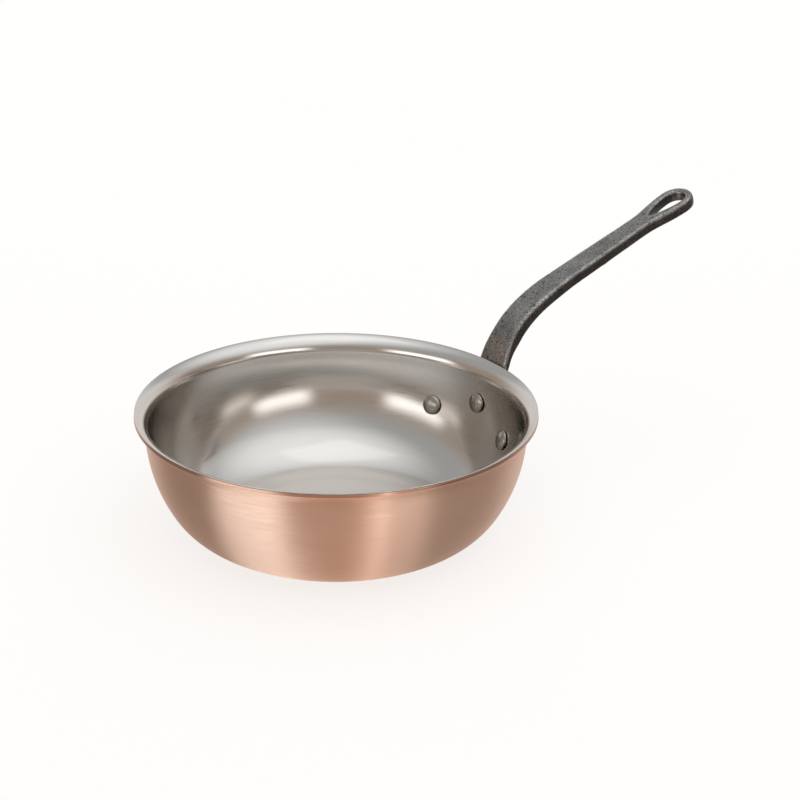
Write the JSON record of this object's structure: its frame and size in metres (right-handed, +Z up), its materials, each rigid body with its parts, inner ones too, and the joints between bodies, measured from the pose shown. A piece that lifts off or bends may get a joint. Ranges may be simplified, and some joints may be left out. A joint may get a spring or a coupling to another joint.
{
  "type": "saucepan",
  "caption": "Round copper pan with curved sides and a flared pouring lip, lined with stainless steel, with a long riveted cast-iron handle that ends in a hanging eye.",
  "frame": {"origin": "centre of the flat underside that the pan stands on", "axes": "+X out along the handle, +Y to the left of the handle, +Z up out of the open bowl"},
  "size_m": [0.4248, 0.25, 0.1654],
  "materials": {
    "copper_shell": "copper, satin, finely brushed round the pan",
    "stainless_lining": "stainless steel, semi-bright, turned round the pan",
    "handle": "grey cast iron, bare, fine sand-cast grain",
    "rivets": "stainless steel, dull"
  },
  "bodies": {
    "root": {"copper_shell": "copper_shell", "stainless_lining": "stainless_lining", "handle": "handle", "rivet_top": "rivets", "rivet_left": "rivets", "rivet_right": "rivets"}
  },
  "joints": []
}
